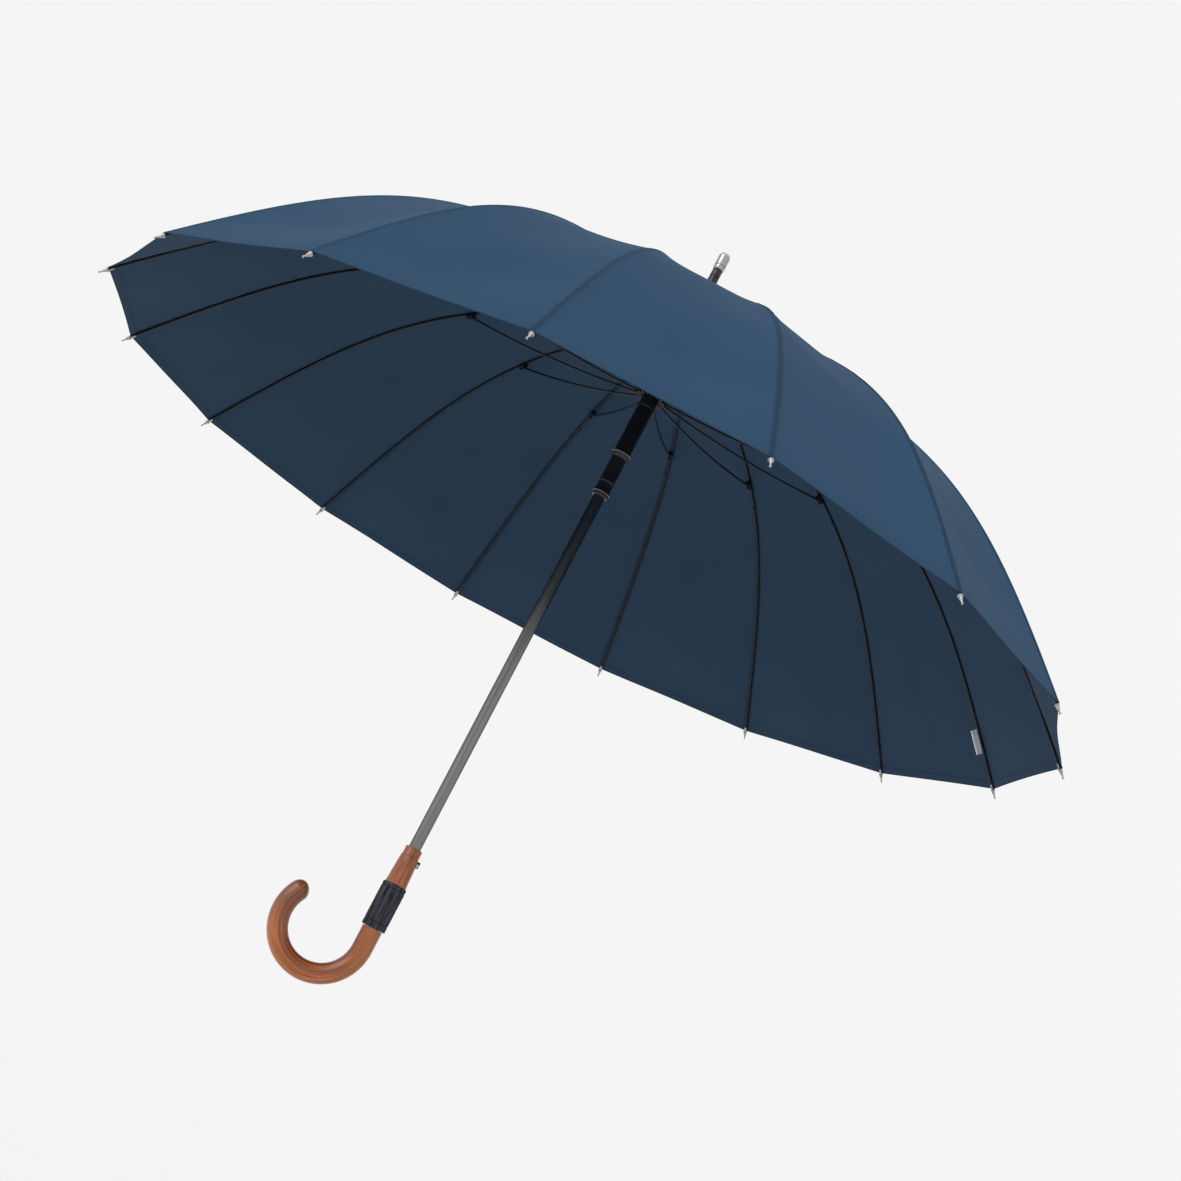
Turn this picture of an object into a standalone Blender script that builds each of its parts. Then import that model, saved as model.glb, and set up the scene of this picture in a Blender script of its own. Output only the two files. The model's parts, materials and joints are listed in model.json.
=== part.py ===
"""Stick umbrella with sixteen ribs, standing open on its own axis. Metres, +Z up.

The origin is on the shaft's axis, at the grip, where the crook meets the black band.
The ferrule points to +Z and the crook curls to -X. Every rib, stretcher and canopy
panel is modelled in the XZ plane of its own rib and then turned to its place.
"""

import math

import bmesh
import bpy
from mathutils import Matrix, Vector

# Driving dimensions
RIBS = 16
RIM_RADIUS = 0.525
DOME_HEIGHT = 0.504 * RIM_RADIUS
RIM_Z = 0.4250
GAP = 0.0003
RIB_STEP = 2 * math.pi / RIBS
FIRST_RIB = RIB_STEP / 2

# The rib's curve: how steeply it leaves the notch and the rim, and how far each end pulls
ROOT_SLOPE = math.radians(6.05)
ROOT_PULL = 0.546 * RIM_RADIUS
TIP_SLOPE = math.radians(48.64)
TIP_PULL = 0.4606 * RIM_RADIUS

# Ribs and stretchers
HINGE_RADIUS = 0.0115
HINGE_Z = RIM_Z + DOME_HEIGHT
RIB_ROD = 0.0015
RIB_ROOT_ROD = 0.0011
ROOT_TAPER = 0.030
RIB_SEGMENTS = 16
FOLD = math.radians(62)
STRETCHER_AT = 0.382
STRETCHER_DROP = 0.0031
STRETCHER_ROD = 0.0012
RUNNER_PIVOT_RADIUS = 0.0145
RUNNER_PIVOT_Z = RIM_Z + 0.178

# Shaft and crown
SHAFT_OUTER = 0.0060
SHAFT_INNER = 0.0052
BORE = SHAFT_OUTER + GAP
SHAFT_TOP = HINGE_Z + 0.0120
NOTCH_OUTER = 0.0140
NOTCH_HALF_HEIGHT = 0.0040
NOTCH_SLOT = 0.0028
NOTCH_FLOOR = 0.0100
CAP_OUTER = 0.0220
CAP_SHOULDER = 0.0150
CAP_THICKNESS = 0.0012
CAP_DROP = 0.0008
FERRULE_TOP = RIM_Z + 0.3330
TIP_TOP = RIM_Z + 0.3544
FERRULE_FLANGE = 0.0098
FLANGE_HEIGHT = 0.0030
FERRULE_BASE = 0.0072
FERRULE_SHOULDER = 0.0067
SHOULDER_RISE = 0.0200
FERRULE_NECK = 0.0052
NECK_LENGTH = 0.0080
TIP_RADIUS = 0.0062
TIP_FLAT = 0.0026
TIP_DOME = 0.0050
TIP_DOME_STEPS = 5
TIP_SKIRT = 0.0056
SPIGOT = 0.0180

# Runner
RUNNER_TOP = RIM_Z + 0.1820
RING_HEIGHT = 0.0080
RING_OUTER = 0.0160
RING_SLOT = 0.0030
CUP_OUTER = 0.0088
CUP_BOTTOM = RIM_Z + 0.1029
CUP_STEP = 0.0010
SLEEVE_OUTER = 0.0082
SLEEVE_RING = 0.0088
FOOT_RISE = 0.0040
FOOT_SLANT = 0.0020
RUNNER_CLEAR = 0.0022

# Handle
COLLAR_TOP = 0.0851
COLLAR_TOP_RADIUS = 0.0090
COLLAR_BOTTOM_RADIUS = 0.0110
BAND_TOP = 0.0460
BAND_RADIUS = 0.01225
ROUND_EDGE = 0.0008
CROOK_ROD = 0.0102
CROOK_RADIUS = 0.0425
CROOK_CENTRE_Z = -0.0215
CROOK_SWEEP = math.radians(210)
CROOK_SEGMENTS = 26
NOSE_SEGMENTS = 8
NOSE_END = 0.995
BUTTON_Z = 0.0720
BUTTON_RADIUS = 0.0034
BUTTON_INNER = 0.0090
BUTTON_OUTER = 0.0124
BUTTON_EDGE = 0.0004
BUTTON_SIDES = 24
POCKET_START = 0.0055
POCKET_END = 0.0155

# Canopy
PANEL_LIFT = RIB_ROD + GAP
PANEL_THICKNESS = 0.0006
PANEL_INNER = 0.0175
PANEL_END = 0.994
PANEL_EDGE = 0.0007
HEM_SAG = 0.004
PANEL_ROWS = 12
PANEL_COLUMNS = 3

# Tie strap, a loop folded up on the canopy's outer side
STRAP_PANEL = 4
STRAP_WIDTH = 0.026
STRAP_LENGTH = 0.058
STRAP_THICKNESS = 0.0024
STRAP_ACROSS = 0.70
STRAP_ALONG = 0.925
STRAP_CLEAR = 0.0012
STRAP_EDGE = 0.0008

STEEL_GREY = (0.11, 0.11, 0.115, 1)
BLACK = (0.02, 0.02, 0.022, 1)
SILVER = (0.62, 0.58, 0.57, 1)
NAVY = (0.035, 0.065, 0.10, 1)
WOOD = (0.28, 0.10, 0.045, 1)
ROUND_STEPS = 24
CUT_PAST = 0.004


def clear_scene():
    for obj in list(bpy.data.objects):
        bpy.data.objects.remove(obj, do_unlink=True)


def collection(name):
    made = bpy.data.collections.new(name)
    bpy.context.scene.collection.children.link(made)
    return made


def material(name, colour, roughness, metallic=0.0):
    made = bpy.data.materials.new(name)
    made.use_nodes = True
    shader = made.node_tree.nodes["Principled BSDF"]
    shader.inputs["Base Color"].default_value = colour
    shader.inputs["Roughness"].default_value = roughness
    shader.inputs["Metallic"].default_value = metallic
    made.diffuse_color = colour
    return made


def add_object(name, data, finish, group):
    made = bpy.data.objects.new(name, data)
    data.materials.append(finish)
    group.objects.link(made)
    return made


def shade_round(mesh):
    mesh.shade_smooth()
    mesh.set_sharp_from_angle(angle=math.radians(35))


def turned(name, profile, finish, group, closed=False, steps=ROUND_STEPS):
    """A profile of (radius, z), outer side first and top to bottom, turned about the shaft."""
    count = len(profile)
    edges = [(i, i + 1) for i in range(count - 1)]
    if closed:
        edges.append((count - 1, 0))
    mesh = bpy.data.meshes.new(name)
    mesh.from_pydata([(radius, 0, z) for radius, z in profile], edges, [])
    made = add_object(name, mesh, finish, group)
    screw = made.modifiers.new("Turn", "SCREW")
    screw.axis = "Z"
    screw.steps = steps
    screw.render_steps = steps
    screw.use_merge_vertices = True
    screw.merge_threshold = 0.00001
    return made


def rod(name, points, radii, finish, group):
    """A round rod through the points, with a radius at each."""
    curve = bpy.data.curves.new(name, "CURVE")
    curve.dimensions = "3D"
    curve.bevel_depth = 1.0
    curve.bevel_resolution = 2
    curve.use_fill_caps = True
    spline = curve.splines.new("POLY")
    spline.points.add(len(points) - 1)
    for place, point, radius in zip(spline.points, points, radii):
        place.co = (*point, 1)
        place.radius = radius
    return add_object(name, curve, finish, group)


def cutter(name, mesh, group):
    made = bpy.data.objects.new(name, mesh)
    group.objects.link(made)
    made.hide_render = True
    made.display_type = "WIRE"
    return made


def cut(piece, tool):
    boolean = piece.modifiers.new("Cut", "BOOLEAN")
    boolean.operation = "DIFFERENCE"
    boolean.solver = "EXACT"
    boolean.object = tool


def rib_azimuth(index):
    return FIRST_RIB + index * RIB_STEP


def place_on_rib(piece, index, place):
    """Puts a piece at its place in the XZ plane, and turns that plane to its rib."""
    piece.matrix_world = Matrix.Rotation(rib_azimuth(index), 4, "Z") @ place


def in_rib_plane(point):
    return Matrix.Translation((point.x, 0, point.y))


# Rib geometry, in the rib's own plane as (radius, z)


def rib_point(t):
    """A point of the rib's centre line: a cubic curve from its hinge to the rim."""
    start = Vector((HINGE_RADIUS, HINGE_Z))
    end = Vector((RIM_RADIUS, RIM_Z))
    first = start + ROOT_PULL * Vector((math.cos(ROOT_SLOPE), -math.sin(ROOT_SLOPE)))
    second = end - TIP_PULL * Vector((math.cos(TIP_SLOPE), -math.sin(TIP_SLOPE)))
    u = 1 - t
    return u**3 * start + 3 * u * u * t * first + 3 * u * t * t * second + t**3 * end


def rib_normal(t):
    """The unit normal of the rib's curve, pointing out of the dome."""
    step = 0.001
    ahead = rib_point(min(t + step, 1)) - rib_point(max(t - step, 0))
    return Vector((-ahead.y, ahead.x)).normalized()


def stretcher_joint():
    """The stretcher's pivot under the rib."""
    return rib_point(STRETCHER_AT) - STRETCHER_DROP * rib_normal(STRETCHER_AT)


def runner_pivot():
    return Vector((RUNNER_PIVOT_RADIUS, RUNNER_PIVOT_Z))


def folded(point):
    """Where a point of the rib goes when the rib folds down about its hinge."""
    hinge = Vector((HINGE_RADIUS, HINGE_Z))
    return hinge + Matrix.Rotation(-FOLD, 2) @ (point - hinge)


def closed_runner_pivot():
    """Where the stretcher's inner end is on the folded umbrella."""
    joint = stretcher_joint()
    length = (runner_pivot() - joint).length
    moved = folded(joint)
    inward = moved.x - RUNNER_PIVOT_RADIUS
    return Vector((RUNNER_PIVOT_RADIUS, moved.y - math.sqrt(length**2 - inward**2)))


def runner_travel():
    return RUNNER_PIVOT_Z - closed_runner_pivot().y


def runner_bottom():
    """The sleeve's lower end, which stays clear of the collar on the closed umbrella."""
    return COLLAR_TOP + runner_travel() + RUNNER_CLEAR


# Ribs and stretchers


def rib_radius(distance):
    """The rod is thin in the notch's slot and reaches its full size soon after it."""
    share = min(distance / ROOT_TAPER, 1)
    return RIB_ROOT_ROD + (RIB_ROD - RIB_ROOT_ROD) * share


def build_rib(index, finish, group):
    """A spring-steel rib, with its origin on its hinge in the notch."""
    hinge = rib_point(0)
    places = [rib_point(i / RIB_SEGMENTS) - hinge for i in range(RIB_SEGMENTS + 1)]
    points = [(place.x, 0, place.y) for place in places]
    radii = [rib_radius(place.length) for place in places]
    rib = rod(f"rib_{index + 1:02d}", points, radii, finish, group)
    place_on_rib(rib, index, in_rib_plane(hinge))


def build_stretcher(index, finish, group):
    """A straight strut from the rib to the runner, with its origin on its pivot under the rib."""
    joint = stretcher_joint()
    inner = runner_pivot() - joint
    points = [(0, 0, 0), (inner.x, 0, inner.y)]
    radii = [STRETCHER_ROD, STRETCHER_ROD]
    strut = rod(f"stretcher_{index + 1:02d}", points, radii, finish, group)
    place_on_rib(strut, index, in_rib_plane(joint))


# Canopy


def panel_point(along, across, lift):
    """A point of the panel between its own rib (across 0) and the next one (across 1)."""
    place = rib_point(along) + lift * rib_normal(along)
    near = Vector((place.x, 0, place.y))
    far = Matrix.Rotation(RIB_STEP, 3, "Z") @ near
    side = (far - near).normalized()
    return (near + PANEL_EDGE * side).lerp(far - PANEL_EDGE * side, across)


def panel_along(share, across):
    """Rows run from the crown to the hem, which sags inwards between the rib tips.

    The rib's curve leaves its ends at three times its pulls, which turns a length into
    the curve's own parameter there.
    """
    first = (PANEL_INNER - HINGE_RADIUS) / (3 * ROOT_PULL * math.cos(ROOT_SLOPE))
    sag = HEM_SAG / (3 * TIP_PULL) * 4 * across * (1 - across)
    return first + (PANEL_END - sag - first) * share


def build_panel(index, finish, group):
    """One gore of the canopy, a thin curved sheet lying on its rib."""
    grid = bmesh.new()
    bmesh.ops.create_grid(grid, x_segments=PANEL_ROWS, y_segments=PANEL_COLUMNS, size=0.5)
    for vertex in grid.verts:
        share = vertex.co.x + 0.5
        across = vertex.co.y + 0.5
        vertex.co = panel_point(panel_along(share, across), across, PANEL_LIFT)
    bmesh.ops.recalc_face_normals(grid, faces=grid.faces)
    if sum(face.normal.z for face in grid.faces) < 0:
        bmesh.ops.reverse_faces(grid, faces=grid.faces)
    name = f"canopy_panel_{index + 1:02d}"
    mesh = bpy.data.meshes.new(name)
    grid.to_mesh(mesh)
    grid.free()
    mesh.shade_smooth()
    panel = add_object(name, mesh, finish, group)
    shell = panel.modifiers.new("Cloth", "SOLIDIFY")
    shell.thickness = PANEL_THICKNESS
    shell.offset = 1
    place_on_rib(panel, index, Matrix.Identity(4))


def build_strap(finish, group):
    """The folded tie strap, a flat pad lying just over one panel near the hem."""
    lift = PANEL_LIFT + PANEL_THICKNESS + STRAP_CLEAR + STRAP_THICKNESS / 2
    centre = panel_point(STRAP_ALONG, STRAP_ACROSS, lift)
    towards_hem = panel_point(STRAP_ALONG + 0.02, STRAP_ACROSS, lift) - centre
    sideways = panel_point(STRAP_ALONG, STRAP_ACROSS + 0.1, lift) - centre
    towards_hem.normalize()
    outward = towards_hem.cross(sideways).normalized()
    if outward.z < 0:
        outward.negate()
    sideways = outward.cross(towards_hem)
    pad = bmesh.new()
    bmesh.ops.create_cube(pad, size=1)
    size = Matrix.Diagonal((STRAP_LENGTH, STRAP_WIDTH, STRAP_THICKNESS, 1))
    bmesh.ops.transform(pad, matrix=size, verts=pad.verts)
    mesh = bpy.data.meshes.new("tie_strap")
    pad.to_mesh(mesh)
    pad.free()
    strap = add_object("tie_strap", mesh, finish, group)
    bevel = strap.modifiers.new("Edges", "BEVEL")
    bevel.width = STRAP_EDGE
    bevel.segments = 2
    axes = Matrix((towards_hem, sideways, outward)).transposed().to_4x4()
    place_on_rib(strap, STRAP_PANEL, Matrix.Translation(centre) @ axes)


def slot_cutter(name, floor, outer, width, middle_z, height, group):
    """Sixteen boxes that open a ring's slots from their floor outwards, one at each rib."""
    boxes = bmesh.new()
    length = outer - floor + CUT_PAST
    for index in range(RIBS):
        turn = Matrix.Rotation(rib_azimuth(index), 4, "Z")
        move = Matrix.Translation((floor + length / 2, 0, middle_z))
        size = Matrix.Diagonal((length, width, height + CUT_PAST, 1))
        bmesh.ops.create_cube(boxes, size=1, matrix=turn @ move @ size)
    mesh = bpy.data.meshes.new(name)
    boxes.to_mesh(mesh)
    boxes.free()
    return cutter(name, mesh, group)


def build_crown(finishes, group, cutters):
    """The notch that holds the rib roots, the fabric cap over it, and the ferrule with its tip."""
    top = HINGE_Z + NOTCH_HALF_HEIGHT
    bottom = HINGE_Z - NOTCH_HALF_HEIGHT
    profile = [(BORE, top), (NOTCH_OUTER, top), (NOTCH_OUTER, bottom), (BORE, bottom)]
    notch = turned("top_notch", profile, finishes["black"], group, closed=True)
    height = 2 * NOTCH_HALF_HEIGHT
    slots = slot_cutter(
        "notch_slots", NOTCH_FLOOR, NOTCH_OUTER, NOTCH_SLOT, HINGE_Z, height, cutters
    )
    cut(notch, slots)

    under = top + GAP
    profile = [
        (BORE, under + CAP_THICKNESS),
        (CAP_SHOULDER, under + CAP_THICKNESS),
        (CAP_OUTER, under + CAP_THICKNESS - CAP_DROP),
        (CAP_OUTER, under - CAP_DROP),
        (CAP_SHOULDER, under),
        (BORE, under),
    ]
    turned("canopy_cap", profile, finishes["navy"], group, closed=True)

    base = under + CAP_THICKNESS + GAP
    spigot = SHAFT_INNER - GAP
    profile = [
        (0, FERRULE_TOP),
        (FERRULE_NECK, FERRULE_TOP),
        (FERRULE_NECK, FERRULE_TOP - NECK_LENGTH),
        (FERRULE_SHOULDER, base + SHOULDER_RISE),
        (FERRULE_BASE, base + FLANGE_HEIGHT),
        (FERRULE_FLANGE, base + FLANGE_HEIGHT),
        (FERRULE_FLANGE, base),
        (SHAFT_OUTER, base),
        (SHAFT_OUTER, SHAFT_TOP + GAP),
        (spigot, SHAFT_TOP + GAP),
        (spigot, SHAFT_TOP - SPIGOT),
        (0, SHAFT_TOP - SPIGOT),
    ]
    turned("ferrule", profile, finishes["black"], group)

    profile = [(0, TIP_TOP), (TIP_FLAT, TIP_TOP)]
    for step in range(1, TIP_DOME_STEPS + 1):
        angle = step / TIP_DOME_STEPS * math.pi / 2
        radius = TIP_FLAT + (TIP_RADIUS - TIP_FLAT) * math.sin(angle)
        profile.append((radius, TIP_TOP - TIP_DOME * (1 - math.cos(angle))))
    profile += [(TIP_SKIRT, FERRULE_TOP + GAP), (0, FERRULE_TOP + GAP)]
    turned("ferrule_tip", profile, finishes["silver"], group)


def build_shaft(finishes, group):
    profile = [
        (SHAFT_OUTER, SHAFT_TOP),
        (SHAFT_OUTER, GAP),
        (SHAFT_INNER, GAP),
        (SHAFT_INNER, SHAFT_TOP),
    ]
    turned("shaft_tube", profile, finishes["steel"], group, closed=True)


def build_runner(finishes, group, cutters):
    """The sliding runner: a slotted ring for the stretchers on a long two-step sleeve."""
    ring_bottom = RUNNER_TOP - RING_HEIGHT
    profile = [
        (BORE, RUNNER_TOP),
        (RING_OUTER, RUNNER_TOP),
        (RING_OUTER, ring_bottom),
        (BORE, ring_bottom),
    ]
    ring = turned("runner_ring", profile, finishes["black"], group, closed=True)
    middle = RUNNER_TOP - RING_HEIGHT / 2
    slots = slot_cutter(
        "runner_slots", CUP_OUTER, RING_OUTER, RING_SLOT, middle, RING_HEIGHT, cutters
    )
    cut(ring, slots)

    top = ring_bottom - GAP
    bottom = runner_bottom()
    profile = [
        (CUP_OUTER, top),
        (CUP_OUTER, CUP_BOTTOM + CUP_STEP),
        (SLEEVE_OUTER, CUP_BOTTOM),
        (SLEEVE_OUTER, bottom + FOOT_RISE + 2 * FOOT_SLANT),
        (SLEEVE_RING, bottom + FOOT_RISE + FOOT_SLANT),
        (SLEEVE_RING, bottom + FOOT_SLANT),
        (SLEEVE_OUTER, bottom),
        (BORE, bottom),
        (BORE, top),
    ]
    turned("runner_sleeve", profile, finishes["black"], group, closed=True)


def peg_along_x(name, length, radius):
    """A round peg with one end at its origin, pointing along X."""
    peg = bmesh.new()
    bmesh.ops.create_cone(
        peg,
        cap_ends=True,
        segments=BUTTON_SIDES,
        radius1=radius,
        radius2=radius,
        depth=length,
        matrix=Matrix.Translation((length / 2, 0, 0)) @ Matrix.Rotation(math.pi / 2, 4, "Y"),
    )
    mesh = bpy.data.meshes.new(name)
    peg.to_mesh(mesh)
    peg.free()
    return mesh


def crook_path():
    """The crook's centre line: a short straight from the band, then a round hook to a round nose."""
    points = [Vector((0, 0, -GAP)), Vector((0, 0, CROOK_CENTRE_Z / 2))]
    radii = [CROOK_ROD, CROOK_ROD]
    nose_angle = CROOK_ROD / CROOK_RADIUS
    stations = [CROOK_SWEEP * i / CROOK_SEGMENTS for i in range(CROOK_SEGMENTS + 1)]
    ends = [math.sin(math.pi / 2 * i / NOSE_SEGMENTS) for i in range(1, NOSE_SEGMENTS)]
    ends.append(NOSE_END)
    for angle in stations + [CROOK_SWEEP + nose_angle * end for end in ends]:
        past = max(angle - CROOK_SWEEP, 0) / nose_angle
        place = Vector((math.cos(angle) - 1, 0, -math.sin(angle))) * CROOK_RADIUS
        points.append(place + Vector((0, 0, CROOK_CENTRE_Z)))
        radii.append(CROOK_ROD * math.sqrt(1 - past * past))
    return points, radii


def build_handle(finishes, group, cutters):
    """The wooden crook, the black band over the joint, the wooden collar, and the button in it."""
    points, radii = crook_path()
    crook = rod("handle_crook", points, radii, finishes["wood"], group)
    crook.data.bevel_resolution = 4

    top = BAND_TOP - GAP
    profile = [
        (BORE, top),
        (BAND_RADIUS - ROUND_EDGE, top),
        (BAND_RADIUS, top - ROUND_EDGE),
        (BAND_RADIUS, GAP + ROUND_EDGE),
        (BAND_RADIUS - ROUND_EDGE, GAP),
        (BORE, GAP),
    ]
    turned("handle_band", profile, finishes["black"], group, closed=True)

    profile = [
        (BORE, COLLAR_TOP),
        (COLLAR_TOP_RADIUS - ROUND_EDGE, COLLAR_TOP),
        (COLLAR_TOP_RADIUS, COLLAR_TOP - ROUND_EDGE),
        (COLLAR_BOTTOM_RADIUS, BAND_TOP),
        (BORE, BAND_TOP),
    ]
    collar = turned("handle_collar", profile, finishes["wood"], group, closed=True)
    pocket = peg_along_x("button_pocket", POCKET_END - POCKET_START, BUTTON_RADIUS + GAP)
    tool = cutter("button_pocket", pocket, cutters)
    tool.location = (POCKET_START, 0, BUTTON_Z)
    cut(collar, tool)

    mesh = peg_along_x("push_button", BUTTON_OUTER - BUTTON_INNER, BUTTON_RADIUS)
    shade_round(mesh)
    pressed = add_object("push_button", mesh, finishes["black"], group)
    pressed.location = (BUTTON_INNER, 0, BUTTON_Z)
    bevel = pressed.modifiers.new("Edge", "BEVEL")
    bevel.width = BUTTON_EDGE
    bevel.segments = 2


def main():
    clear_scene()
    group = collection("stick_umbrella")
    cutters = collection("cutters")
    finishes = {
        "steel": material("shaft_steel", STEEL_GREY, 0.35, 0.6),
        "black": material("black_plastic", BLACK, 0.35),
        "rods": material("rib_steel", BLACK, 0.4, 0.5),
        "silver": material("bright_metal", SILVER, 0.25, 1.0),
        "navy": material("canopy_cloth", NAVY, 0.8),
        "wood": material("lacquered_wood", WOOD, 0.3),
    }
    build_shaft(finishes, group)
    build_crown(finishes, group, cutters)
    build_runner(finishes, group, cutters)
    build_handle(finishes, group, cutters)
    for index in range(RIBS):
        build_rib(index, finishes["rods"], group)
        build_stretcher(index, finishes["rods"], group)
        build_panel(index, finishes["navy"], group)
    build_strap(finishes["navy"], group)


main()
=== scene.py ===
"""Looks of a stick umbrella with sixteen ribs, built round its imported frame. Metres, +Z up.

The shaft stands on +Z with the crook at its foot. A piece of one rib is made in the XZ
plane and then turned to its rib, and every finished piece keeps its place in its mesh.
"""

import json
import math

import bmesh
import bpy
import numpy as np
from mathutils import Matrix, Vector


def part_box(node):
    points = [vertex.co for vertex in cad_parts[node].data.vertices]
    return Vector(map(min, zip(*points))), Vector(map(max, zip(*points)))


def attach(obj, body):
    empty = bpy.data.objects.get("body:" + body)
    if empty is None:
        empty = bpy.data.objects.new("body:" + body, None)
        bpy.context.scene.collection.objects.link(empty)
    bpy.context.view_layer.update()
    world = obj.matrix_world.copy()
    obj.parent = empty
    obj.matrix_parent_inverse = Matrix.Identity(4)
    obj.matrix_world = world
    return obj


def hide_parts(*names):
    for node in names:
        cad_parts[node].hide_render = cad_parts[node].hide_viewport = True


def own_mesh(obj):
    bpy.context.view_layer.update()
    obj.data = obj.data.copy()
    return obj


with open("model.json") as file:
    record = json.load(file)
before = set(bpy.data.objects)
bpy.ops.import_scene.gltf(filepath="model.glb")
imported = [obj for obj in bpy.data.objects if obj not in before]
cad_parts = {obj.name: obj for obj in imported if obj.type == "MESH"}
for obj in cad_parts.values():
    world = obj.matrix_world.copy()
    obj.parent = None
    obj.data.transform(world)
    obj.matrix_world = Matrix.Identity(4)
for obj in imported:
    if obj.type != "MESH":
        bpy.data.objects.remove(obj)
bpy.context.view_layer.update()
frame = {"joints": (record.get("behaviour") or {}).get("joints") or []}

# Driving dimensions
RIBS = 16
RIB_STEP = 2 * math.pi / RIBS
FIRST_RIB = RIB_STEP / 2
RIM_RADIUS = 0.525
GAP = 0.0003
JOINTS = {joint["name"]: joint for joint in frame["joints"]}


def joint_place(name):
    """A joint's place in the plane of its rib: its distance from the shaft, and its height."""
    x, y, z = JOINTS[name]["pos_m"]
    return math.hypot(x, y), z


HINGE_RADIUS, HINGE_Z = joint_place("rib_hinge_01")
STRUT_RADIUS, STRUT_Z = joint_place("stretcher_hinge_01")
RIM_Z = HINGE_Z - 0.504 * RIM_RADIUS
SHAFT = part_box("shaft_tube")
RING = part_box("runner_ring")
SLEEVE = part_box("runner_sleeve")
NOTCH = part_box("top_notch")
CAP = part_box("canopy_cap")
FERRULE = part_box("ferrule")
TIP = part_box("ferrule_tip")
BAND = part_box("handle_band")
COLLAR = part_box("handle_collar")
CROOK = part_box("handle_crook")
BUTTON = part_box("push_button")
BORE = SHAFT[1].x + GAP

# Where the open umbrella is seen from, leaning across the view
LENS = 61
CAMERA_PLACE = (0, -1.9481, RIM_Z - 0.4871)
CAMERA_RIGHT = Vector((0.88543, -0.12105, 0.44873)).normalized()
CAMERA_AHEAD = Vector((0.01795, 0.97367, 0.22723))
BACKDROP = 0.913
FLOOR_SIZE = 160
FLOOR_Z = -0.62

# The rib's curve, and what lies along it
ROOT_SLOPE = math.radians(6.05)
ROOT_PULL = 0.546 * RIM_RADIUS
TIP_SLOPE = math.radians(48.64)
TIP_PULL = 0.4606 * RIM_RADIUS
RIB_ROD = 0.0015
RIB_ROOT_ROD = 0.0011
TIE_PLACES = (0.20, 0.45, 0.68, 0.88)
STRETCHER_AT = 0.382
STRETCHER_ROD = 0.0012
STRETCHER_BOW = 0.005
RUNNER_PIVOT_RADIUS = 0.0145
RUNNER_PIVOT_Z = (RING[0].z + RING[1].z) / 2
RUNNER_STEP_Z = RIM_Z + 0.1029

# Canopy cloth
CLOTH_LIFT = RIB_ROD + GAP
CLOTH_THICKNESS = 0.0004
CLOTH_SAG = 0.036
TAUT_FROM = 0.86
HEM_TAUT = 0.80
CROWN_RADIUS = 0.0175
HEM_AT = 0.9945
HEM_SAG = 0.0012
HEM_SAG_REACH = 0.15
HEM_WIDTH = 0.0080
HEM_FOLD = 0.0003
LAP_RAISE = 0.0005

# How the cloth is drawn up: waves by height and pitch along a seam, and by lean across a gore
PUCKER = 0.0003
PUCKER_REACH = 0.004
PUCKER_WAVES = ((0.5, 0.0190), (0.3, 0.0135), (0.4, 0.0610))
WRINKLE = 0.0007
WRINKLE_WAVES = ((1.0, 0.165, 3.0), (0.6, 0.094, -5.0), (0.5, 0.270, 7.0))
GATHER = 0.0003
GATHER_PITCH = 0.021
GATHER_REACH = 0.018
STITCH_SINK = 0.00015
STITCH_INSET = 0.0023
STITCH_WIDTH = 0.0004
HEM_STITCH_SINK = 0.00012
HEM_STITCH_INSET = 0.0012
HEM_STITCH_WIDTH = 0.0006

# Distances of a gore's points from the hem and from its two seams, close where it is sewn
HEM_ROWS = np.array((0, 0.5, 1.2, 2.2, 3.5, 5.0, 6.4, 7.2, 7.7, 8.1, 8.6, 9.4, 11, 13.5, 16)) / 1000
OWN_SEAM = np.array((-3.5, -3.3, -2.8, -2.3, -1.2, 0, 1.0, 1.9, 3.6, 6.0, 9.0)) / 1000
FAR_SEAM = np.array((9.0, 6.0, 3.6, 1.8, 0.7)) / 1000
NARROW_GORE = 0.030
BODY_START = 0.0195
BODY_ROWS = 150
BODY_COLUMNS = 13

# Tie strap, and care label in its rib's seam
STRAP_GORE = 4
STRAP_ALONG = 0.930
STRAP_ACROSS = 0.70
STRAP_WIDTH = 0.024
STRAP_THICKNESS = 0.0006
STRAP_IN = -0.026
STRAP_OUT = 0.034
LOOP_LOW = 0.0008
LOOP_RADIUS = 0.0035
LOOP_SINK = 0.0042
LABEL_RIB = 0
LABEL_ALONG = 0.918
LABEL_WIDTH = 0.026
LABEL_DEPTH = 0.0095
LABEL_LOW = 0.0005
LABEL_CURL = 18
LABEL_BEND = 0.0006

# Handle
CROOK_BEND = 0.0425
CROOK_BEND_Z = -0.0215
CROOK_SWEEP = math.radians(210)
CROOK_STEPS = 72
NOSE_STEPS = 10
BUTTON_RADIUS = 0.0034
POCKET_RADIUS = 0.0037

ROUND = 64

START = np.array((HINGE_RADIUS, HINGE_Z))
END = np.array((RIM_RADIUS, RIM_Z))
FIRST = START + ROOT_PULL * np.array((math.cos(ROOT_SLOPE), -math.sin(ROOT_SLOPE)))
SECOND = END - TIP_PULL * np.array((math.cos(TIP_SLOPE), -math.sin(TIP_SLOPE)))


def smooth(value, low, high):
    """Rises from 0 at low to 1 at high, level at both."""
    share = np.clip((value - low) / (high - low), 0, 1)
    return share * share * (3 - 2 * share)


def rib_azimuth(index):
    return FIRST_RIB + index * RIB_STEP


def rib_name(stem, index):
    return f"{stem}_{index % RIBS + 1:02d}"


def rib_turn(index):
    return Matrix.Rotation(rib_azimuth(index), 4, "Z")


def placed(name, data):
    made = bpy.data.objects.new(name, data)
    bpy.context.scene.collection.objects.link(made)
    return made


# Camera, floor and light


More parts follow.
